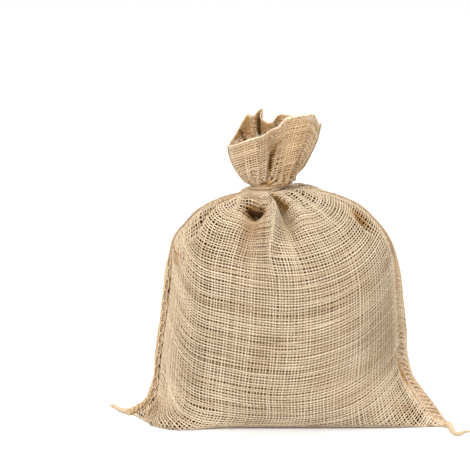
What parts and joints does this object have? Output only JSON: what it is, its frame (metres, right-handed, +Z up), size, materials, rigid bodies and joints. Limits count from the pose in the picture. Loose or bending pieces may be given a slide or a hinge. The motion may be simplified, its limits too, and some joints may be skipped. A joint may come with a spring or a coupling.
{
  "type": "hessian sack",
  "caption": "Small filled hessian sack with sewn side seams and loose corner ears, gathered and tied at the neck with jute twine, its open mouth flaring above the tie.",
  "frame": {"origin": "on the floor under the middle of the filled body, in the plane of the side seams", "axes": "+X across the sack from its left seam to its right one, -Y out of its front, +Z up to the tied neck"},
  "size_m": [0.3294, 0.155, 0.2833],
  "materials": {
    "hessian": "natural undyed jute, open plain weave, matt",
    "twine": "natural jute twine, matt",
    "seam_thread": "loosely twisted natural jute sewing thread, matt"
  },
  "bodies": {
    "root": {"sack": "hessian", "neck_tie": "twine", "thread_end_left": "seam_thread", "thread_end_right": "seam_thread"}
  },
  "joints": []
}
